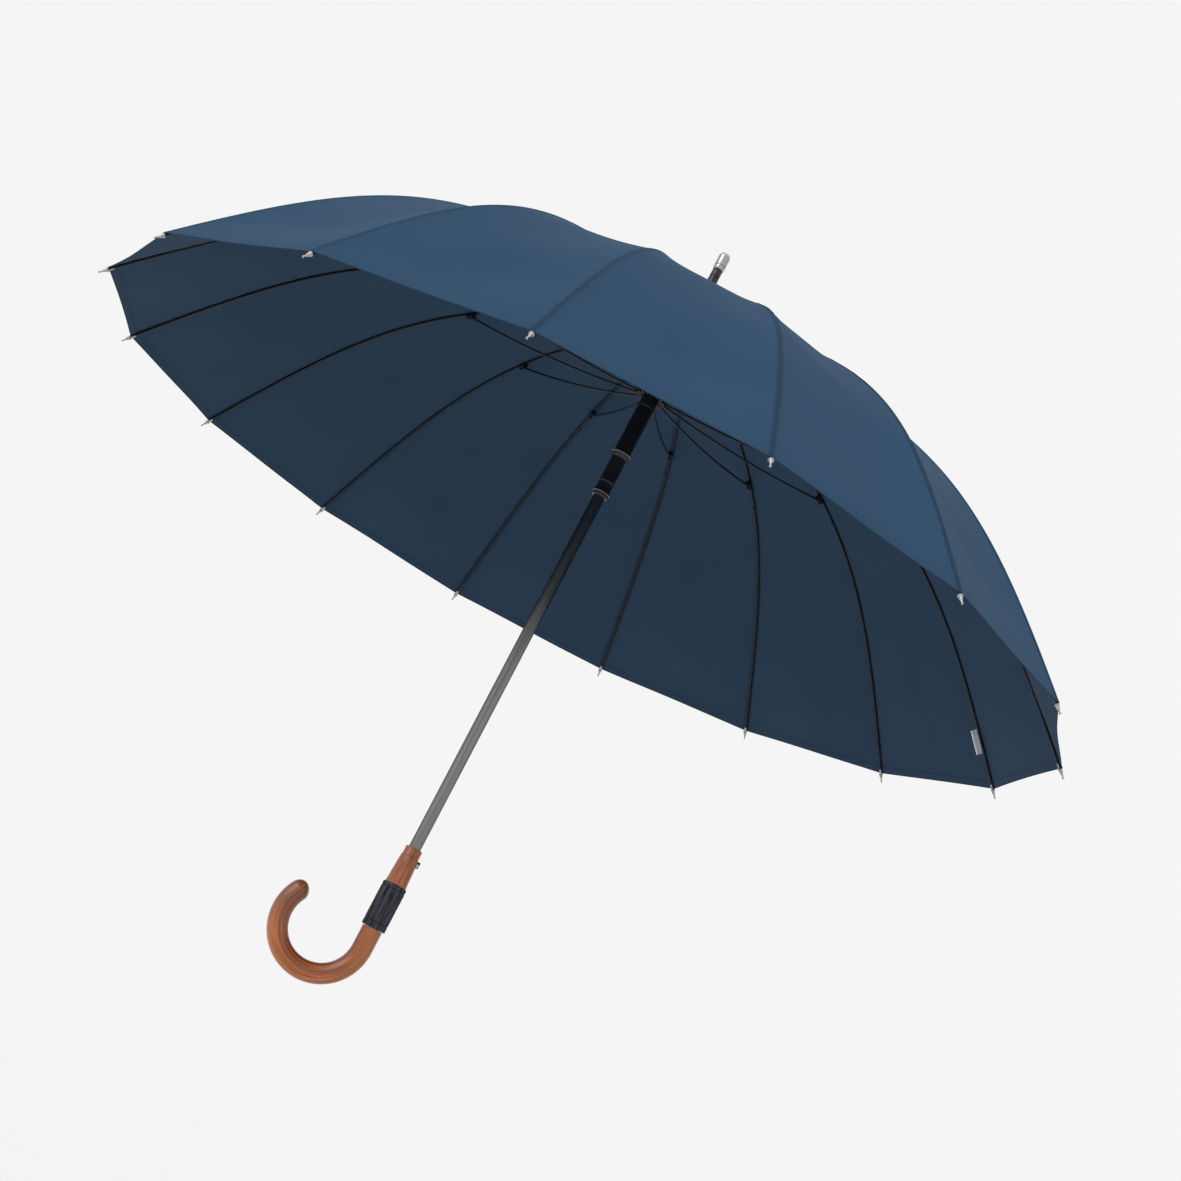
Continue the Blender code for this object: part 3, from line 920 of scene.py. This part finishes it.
def build_care_label():
    """A blank folded satin label, sewn into a seam inside the canopy near its hem."""
    point = rib_point(LABEL_ALONG)
    heading = rib_heading(LABEL_ALONG)
    normal = rib_normal(LABEL_ALONG)
    ahead = Vector((heading[0], 0, heading[1]))
    inward = -Vector((normal[0], 0, normal[1]))
    aside = inward.cross(ahead)
    here = Vector((point[0], 0, point[1])) + Vector((0, 0.0026, 0)) - inward * 0.0012
    place = Matrix.Translation(here) @ Matrix((inward, ahead, aside)).transposed().to_4x4()
    down = np.linspace(0, LABEL_DEPTH, 10)
    path = [(x, LABEL_LOW + LABEL_CURL * x * x) for x in down]
    path += arc(path[-1][0], path[-1][1] + LABEL_BEND, LABEL_BEND, -90, 90, 6)[1:-1]
    path += [(x, LABEL_LOW + 2 * LABEL_BEND + LABEL_CURL * x * x) for x in down[::-1]]
    turn = rib_turn(LABEL_RIB)
    label = ribbon("care_label", path, LABEL_WIDTH, 0.00025, turn @ place)
    finished(label, "spoke_01", "canopy_cloth", FINISH["label"], FINISH["label"])


# Ribs and stretchers


def in_plane(radius, height, heading):
    """Turns a piece made along +Z to a heading in the rib's plane, and moves it there."""
    along = Vector((heading[0], 0, heading[1]))
    side = Vector((0, 1, 0))
    axes = Matrix((side.cross(along), side, along)).transposed().to_4x4()
    return Matrix.Translation((radius, 0, height)) @ axes


def build_rib_rods():
    """A spring-steel rod on the rib's curve, thinner where it sits in the notch."""
    deselect()
    bpy.ops.curve.primitive_bezier_curve_add(location=(0, 0, 0))
    rod = named("rib_rod")
    ends = rod.data.splines[0].bezier_points
    for end, handle in zip(ends, ("handle_right", "handle_left")):
        end.handle_left_type = "FREE"
        end.handle_right_type = "FREE"
        place, pull = (START, FIRST) if handle == "handle_right" else (END, SECOND)
        end.co = (place[0], 0, place[1])
        end.handle_left = end.co
        end.handle_right = end.co
        setattr(end, handle, (pull[0], 0, pull[1]))
    bpy.ops.object.mode_set(mode="EDIT")
    bpy.ops.curve.select_all(action="SELECT")
    bpy.ops.curve.subdivide(number_cuts=20)
    bpy.ops.object.mode_set(mode="OBJECT")
    for point in rod.data.splines[0].bezier_points:
        distance = (point.co - Vector((START[0], 0, START[1]))).length
        share = min(distance / 0.030, 1)
        point.radius = (RIB_ROOT_ROD + (RIB_ROD - RIB_ROOT_ROD) * share) / RIB_ROD
    rod.data.resolution_u = 4
    rod.data.bevel_depth = RIB_ROD
    rod.data.bevel_resolution = 3
    rod.data.use_fill_caps = True
    bpy.ops.object.convert(target="MESH")
    rod = bpy.context.object
    close_up(rod)
    round_shade(rod)
    copied_round(rod, "rib_rod", "spoke", "rib_steel", FINISH["rib"], "rib")


def build_rib_tips():
    """The bright cap on each rib's end, with a collar at the hem and a thin nose that ends in a ball."""
    outline = [(0.00155, -0.0092), (0.00168, -0.0090), (0.00168, -0.0040)]
    outline += arc(0.0019, -0.0030, 0.0006, -90, 90, 8)
    outline += [(0.00168, -0.0022), (0.00168, 0.0003), (0.0011, 0.0012), (0.0007, 0.0044)]
    outline += arc(0.0, 0.0054, 0.0011, -50, 82, 12)
    cap = turned("rib_tip", outline, sides=24)
    cap.data.transform(in_plane(END[0], END[1], rib_heading(1.0)))
    round_shade(cap, 50)
    copied_round(cap, "rib_tip", "spoke", "bright_metal", FINISH["bright"])


def build_rib_ties():
    """The thread that ties the canopy's seam to each rib at four places."""
    parts = []
    for t in TIE_PLACES:
        point = rib_point(t)
        for shift in (-0.0004, 0.0004):
            deselect()
            bpy.ops.mesh.primitive_torus_add(
                major_segments=20,
                minor_segments=8,
                major_radius=0.00182,
                minor_radius=0.00032,
                location=(0, 0, shift),
            )
            loop = settle(bpy.context.object)
            loop.data.transform(in_plane(point[0], point[1], rib_heading(t)))
            parts.append(loop)
    ties = round_shade(joined("rib_tie", *parts), 60)
    copied_round(ties, "rib_ties", "spoke", "canopy_cloth", FINISH["thread"])


def build_stretchers():
    """A gently bowed strut from the runner to the rib, pressed flat into an eye at each end."""
    joint = Vector((STRUT_RADIUS, STRUT_Z))
    inner = Vector((RUNNER_PIVOT_RADIUS, RUNNER_PIVOT_Z))
    span = joint - inner
    half = span.length / 2
    eye = [
        (half + 0.0010, 0.85, 0.45),
        (half - 0.0010, 1.38, 0.45),
        (half - 0.0028, 1.38, 0.50),
        (half - 0.0046, 1.10, 0.80),
        (half - 0.0070, 1.00, 1.00),
    ]
    rod = [(half * place, 1.0, 1.0) for place in (0.8, 0.6, 0.4, 0.2, 0, -0.2, -0.4, -0.6, -0.8)]
    stations = eye + rod + [(-place, wide, thin) for place, wide, thin in reversed(eye)]
    place, wide, thin = stations[0]
    deselect()
    bpy.ops.mesh.primitive_circle_add(
        vertices=16, radius=STRETCHER_ROD, fill_type="NGON", location=(0, 0, place)
    )
    strut = named("strut_rod")
    strut.scale = (wide, thin, 1)
    settle(strut)
    edit_whole()
    for next_place, next_wide, next_thin in stations[1:]:
        sink = STRETCHER_BOW * ((place / half) ** 2 - (next_place / half) ** 2)
        step = (sink, 0, next_place - place)
        bpy.ops.mesh.extrude_region_move(TRANSFORM_OT_translate={"value": step})
        bpy.ops.transform.resize(value=(next_wide / wide, next_thin / thin, 1))
        place, wide, thin = next_place, next_wide, next_thin
    bpy.ops.object.mode_set(mode="OBJECT")
    middle = (joint + inner) / 2
    strut.data.transform(in_plane(middle.x, middle.y, span.normalized()))
    settle(strut)
    close_up(strut)
    round_shade(strut, 40)
    copied_round(strut, "stretcher_rod", "strut", "rib_steel", FINISH["rib"], "stretcher")


def build_brackets():
    """The folded bracket under each rib that carries the stretcher, and its rivet."""
    joint = Vector((STRUT_RADIUS, STRUT_Z))
    heading = rib_heading(STRETCHER_AT)
    normal = rib_normal(STRETCHER_AT)
    deselect()
    bpy.ops.mesh.primitive_cube_add(size=1, location=(0, 0, 0))
    bracket = named("rib_bracket")
    bracket.scale = (0.0052, 0.0044, 0.0100)
    settle(bracket)
    bpy.ops.object.mode_set(mode="EDIT")
    bpy.ops.mesh.select_all(action="DESELECT")
    bpy.ops.object.mode_set(mode="OBJECT")
    for face in bracket.data.polygons:
        face.select = face.normal.x > 0.9
    bpy.ops.object.mode_set(mode="EDIT")
    bpy.ops.mesh.inset(thickness=0.0006)
    bpy.ops.transform.resize(value=(1, 1, 1.12))
    bpy.ops.mesh.extrude_region_move(TRANSFORM_OT_translate={"value": (-0.0030, 0, 0)})
    bpy.ops.object.mode_set(mode="OBJECT")
    soften(bracket, 0.0004, 2)
    centre = joint + Vector(normal) * 0.0014
    bracket.data.transform(in_plane(centre.x, centre.y, heading))
    round_shade(bracket)
    copied_round(bracket, "rib_bracket", "spoke", "rib_steel", FINISH["rib"])

    deselect()
    bpy.ops.mesh.primitive_cylinder_add(
        vertices=24, radius=0.0009, depth=0.0056, rotation=(math.pi / 2, 0, 0)
    )
    rivet = settle(named("rib_rivet"))
    soften(rivet, 0.00035, 3)
    rivet.data.transform(Matrix.Translation((joint.x, 0, joint.y)))
    round_shade(rivet)
    copied_round(rivet, "rib_rivet", "spoke", "rib_steel", FINISH["rib"])


# Crown, runner and shaft


def ring_outline(box, edge, between=()):
    """The section of a ring on the shaft, its outer corners rounded, with points between them."""
    outer, low, high = box[1].x, box[0].z, box[1].z
    outline = [(BORE, low), (BORE, high), (outer - edge, high)]
    outline += arc(outer - edge, high - edge, edge, 90, 0, 4)[1:]
    outline += between
    return outline + arc(outer - edge, low + edge, edge, 0, -90, 4) + [(BORE, low)]


def slotted_ring(name, box, floor, width, edge):
    """A ring with one slot for each rib, from the slot's floor outwards."""
    ring = turned(name, ring_outline(box, edge), closed=True, sides=96)
    low, high = box[0].z, box[1].z
    past = 0.004
    length = box[1].x - floor + past
    deselect()
    bpy.ops.mesh.primitive_cube_add(size=1, location=(0, 0, 0))
    blade = named("slot_blade")
    blade.scale = (length, width, high - low + past)
    blade.location = (floor + length / 2, 0, (high + low) / 2)
    settle(blade)
    soften(blade, 0.0002, 2)
    blades = []
    for index in range(RIBS):
        copy = placed("slot_blade", blade.data.copy())
        copy.data.transform(rib_turn(index))
        blades.append(copy)
    bpy.data.objects.remove(blade)
    cut_away(ring, joined("slot_blades", *blades))
    return round_shade(ring)


def build_crown():
    notch = slotted_ring("crown_notch", NOTCH, floor=0.0100, width=0.0028, edge=0.0007)
    finished(notch, "shaft", "black_plastic", FINISH["plastic"])
    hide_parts("top_notch")

    base, top = CAP[1].z + GAP, FERRULE[1].z
    ring_top = base + 0.0030
    ring = [(0.0064, base), (0.0091, base)]
    ring += arc(0.0091, base + 0.0007, 0.0007, -90, 0, 4)
    ring += arc(0.0089, ring_top - 0.0009, 0.0009, 0, 90, 5) + [(0.0064, ring_top), (0.0064, base)]
    ring = round_shade(turned("ferrule_ring", ring, closed=True), 40)
    finished(ring, "shaft", "bright_metal", FINISH["bright"])

    body = [(0.0060, base), (0.0060, ring_top), (0.0070, ring_top + 0.0001)]
    body += [(0.0072, ring_top + 0.0010), (0.0071, ring_top + 0.0060), (0.0067, base + 0.0200)]
    body += [(0.0060, base + 0.0340), (0.0054, top - 0.0110), (0.0054, top - 0.0092)]
    body += [(0.0049, top - 0.0088), (0.0049, top - 0.0078), (0.0054, top - 0.0074)]
    body += [(0.0053, top - 0.0006), (0.0050, top)]
    body = round_shade(turned("ferrule_stick", body), 50)
    finished(body, "shaft", "black_metal", FINISH["ferrule"])
    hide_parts("ferrule")

    foot, head = TIP[0].z, TIP[1].z
    cap = [(0.0054, foot), (0.0059, foot + 0.0006), (0.0061, foot + 0.0030)]
    cap += [(0.0061, foot + 0.0046), (0.0057, foot + 0.0050)]
    cap += [(0.0057, foot + 0.0056), (0.0062, foot + 0.0060)]
    cap += arc(0.0026, head - 0.0050, 0.0036, 0, 25, 3)
    rise = 0.0050
    for step in range(1, 9):
        turn = math.pi / 2 * step / 8
        cap.append((0.0012 + 0.0048 * math.cos(turn) ** 0.9, head - rise + rise * math.sin(turn)))
    cap = round_shade(turned("ferrule_cap", cap), 50)
    finished(cap, "shaft", "bright_metal", FINISH["bright"])
    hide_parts("ferrule_tip")


def build_shaft():
    outer, low, high = SHAFT[1].x, SHAFT[0].z, SHAFT[1].z
    inner = outer - 0.0008
    outline = [(inner, low), (inner, high), (outer, high), (outer, low), (inner, low)]
    tube = round_shade(turned("shaft_tube_steel", outline, closed=True, sides=96))
    finished(tube, "shaft", "shaft_steel", FINISH["shaft"])
    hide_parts("shaft_tube")


def build_runner():
    ring = slotted_ring("runner_crown", RING, floor=0.0088, width=0.0030, edge=0.0006)
    finished(ring, "runner", "black_plastic", FINISH["plastic"])
    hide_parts("runner_ring")

    top, foot, wide = SLEEVE[1].z, SLEEVE[0].z, SLEEVE[1].x
    step = RUNNER_STEP_Z
    slim = wide - 0.0008
    outline = [(BORE, foot), (BORE, top), (wide, top), (wide, top - 0.010)]
    outline += [(wide - 0.0003, top - 0.0104), (wide - 0.0003, top - 0.0116), (wide, top - 0.0120)]
    outline += [(wide, step + 0.0078), (wide + 0.0009, step + 0.0070), (wide + 0.0010, step + 0.0045)]
    outline += [(wide + 0.0004, step + 0.0036), (wide, step + 0.0010), (slim, step)]
    outline += [(slim, foot + 0.0190), (slim + 0.0005, foot + 0.0184), (slim + 0.0005, foot + 0.0164)]
    outline += [(slim, foot + 0.0158), (slim, foot + 0.0080), (slim + 0.0007, foot + 0.0072)]
    outline += [(slim + 0.0007, foot + 0.0010), (slim + 0.0002, foot), (BORE, foot)]
    sleeve = round_shade(soften(turned("runner_barrel", outline, closed=True), 0.00015, 2), 40)
    finished(sleeve, "runner", "black_plastic", FINISH["plastic"])
    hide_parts("runner_sleeve")
    for name, height, radius in (
        ("runner_trim_upper", step + 0.0052, wide + 0.0011),
        ("runner_trim_lower", foot + 0.0040, slim + 0.0008),
    ):
        deselect()
        bpy.ops.mesh.primitive_torus_add(
            major_segments=64,
            minor_segments=12,
            major_radius=radius,
            minor_radius=0.0004,
            location=(0, 0, height),
        )
        trim = round_shade(settle(named(name)), 60)
        finished(trim, "runner", "bright_metal", FINISH["bright"])


# Handle


def mark_grain(piece, darken_from=None):
    """Stores each point's place in the straight stick that the wood was bent from, and how much darker
    it is coloured towards the nose and on the inside of the bend.
    """
    points = np.empty(len(piece.data.vertices) * 3)
    piece.data.vertices.foreach_get("co", points)
    points = points.reshape(-1, 3)
    grain = np.stack((points[:, 0], points[:, 1], -points[:, 2]), -1)
    darkening = np.zeros(len(points))
    if darken_from is not None:
        away = points[:, 0] + CROOK_BEND
        drop = points[:, 2] - CROOK_BEND_Z
        turn = np.mod(np.arctan2(-drop, away), 2 * math.pi)
        bent = (points[:, 2] < CROOK_BEND_Z) | (away < 0)
        grain[bent, 0] = (np.hypot(away, drop) - CROOK_BEND)[bent]
        grain[bent, 2] = (-CROOK_BEND_Z + CROOK_BEND * turn)[bent]
        # The colour darkens towards the nose and on the inside of the bend.
        darkening = 0.55 * smooth(grain[:, 2], darken_from, darken_from + 0.045)
        darkening = np.maximum(darkening, 0.40 * smooth(-grain[:, 0], 0.003, 0.0095))
    place = piece.data.attributes.new("grain", "FLOAT_VECTOR", "POINT")
    place.data.foreach_set("vector", grain.astype(np.float32).ravel())
    darker_tone = piece.data.attributes.new("darkening", "FLOAT", "POINT")
    darker_tone.data.foreach_set("value", darkening.astype(np.float32))


def build_crook():
    """A round stick, drawn down from the band, spun into a hook and closed with a round nose."""
    stick = CROOK[1].y
    deselect()
    bpy.ops.mesh.primitive_circle_add(
        vertices=48, radius=stick, fill_type="NGON", location=(0, 0, -GAP)
    )
    crook = named("crook_stick")
    edit_whole()
    for _ in range(4):
        drop = (CROOK_BEND_Z + GAP) / 4
        bpy.ops.mesh.extrude_region_move(TRANSFORM_OT_translate={"value": (0, 0, drop)})
    centre = (-CROOK_BEND, 0, CROOK_BEND_Z)
    bpy.ops.mesh.spin(steps=CROOK_STEPS, angle=-CROOK_SWEEP, center=centre, axis=(0, 1, 0))
    nose = stick / CROOK_BEND
    before, size = 0.0, 1.0
    for step in range(1, NOSE_STEPS + 1):
        turn = math.sin(math.pi / 2 * step / NOSE_STEPS) * 0.995
        bpy.ops.mesh.spin(steps=1, angle=nose * (before - turn), center=centre, axis=(0, 1, 0))
        new_size = math.sqrt(1 - turn * turn)
        shrink = new_size / size
        bpy.ops.transform.resize(value=(shrink, shrink, shrink))
        before, size = turn, new_size
    bpy.ops.object.mode_set(mode="OBJECT")
    settle(crook)
    close_up(crook)
    mark_grain(crook, darken_from=-CROOK_BEND_Z + CROOK_BEND * CROOK_SWEEP - 0.055)
    round_shade(crook, 60)
    finished(crook, "shaft", "lacquered_wood", FINISH["wood"])
    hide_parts("handle_crook")


def button_cylinder(name, radius, depth, x):
    """A cylinder across the shaft, at the button's height."""
    deselect()
    bpy.ops.mesh.primitive_cylinder_add(
        vertices=48,
        radius=radius,
        depth=depth,
        location=(x, 0, (BUTTON[0].z + BUTTON[1].z) / 2),
        rotation=(0, math.pi / 2, 0),
    )
    return settle(named(name))


def build_grip():
    """The black band, the wooden collar over it, and the round button that opens the umbrella."""
    wide, low, high = BAND[1].x, BAND[0].z, BAND[1].z
    floor = wide - 0.0005
    grooves = []
    for place in (high - 0.0045, low + 0.0057):
        grooves += [(wide, place + 0.0012), (floor, place + 0.0009)]
        grooves += [(floor, place + 0.0003), (wide, place)]
    outline = ring_outline(BAND, 0.0008, grooves)
    band = round_shade(turned("grip_band", outline, closed=True, sides=96), 40)
    finished(band, "shaft", "black_band", FINISH["band"])
    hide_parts("handle_band")

    low, high = COLLAR[0].z, COLLAR[1].z
    outline = [(BORE, low), (BORE, high), (0.0078, high)]
    outline += arc(0.0078, high - 0.0008, 0.0008, 90, 0, 4)[1:]
    outline += [(0.0087, high - 0.0085), (0.0090, high - 0.0091), (0.0093, high - 0.0100)]
    outline += [(0.0098, low + 0.0200), (0.0105, low + 0.0060), (0.0110, low), (BORE, low)]
    collar = turned("grip_collar", outline, closed=True)
    cut_away(collar, button_cylinder("pocket_drill", POCKET_RADIUS, 0.010, 0.0105))
    mark_grain(collar)
    round_shade(collar, 40)
    finished(collar, "shaft", "lacquered_wood", FINISH["wood"])
    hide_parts("handle_collar")

    depth = BUTTON[1].x - BUTTON[0].x
    press = button_cylinder("button_cap", BUTTON_RADIUS, depth, BUTTON[0].x + depth / 2)
    for face in press.data.polygons:
        face.select = face.normal.x > 0.9
    bpy.ops.object.mode_set(mode="EDIT")
    bpy.ops.mesh.select_mode(type="FACE")
    bpy.ops.mesh.inset(thickness=0.0009)
    bpy.ops.transform.translate(value=(-0.0003, 0, 0))
    bpy.ops.object.mode_set(mode="OBJECT")
    soften(press, 0.00035, 3, 40)
    round_shade(press, 40)
    finished(press, "button", "bright_metal", FINISH["bright"])
    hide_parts("push_button")


bpy.context.scene.view_settings.view_transform = "Standard"
aim_camera()
light_studio()
lay_floor()
build_gores()
build_rosette()
build_tie_strap()
build_care_label()
build_rib_rods()
build_rib_tips()
build_rib_ties()
build_stretchers()
build_brackets()
build_crown()
build_shaft()
build_runner()
build_crook()
build_grip()
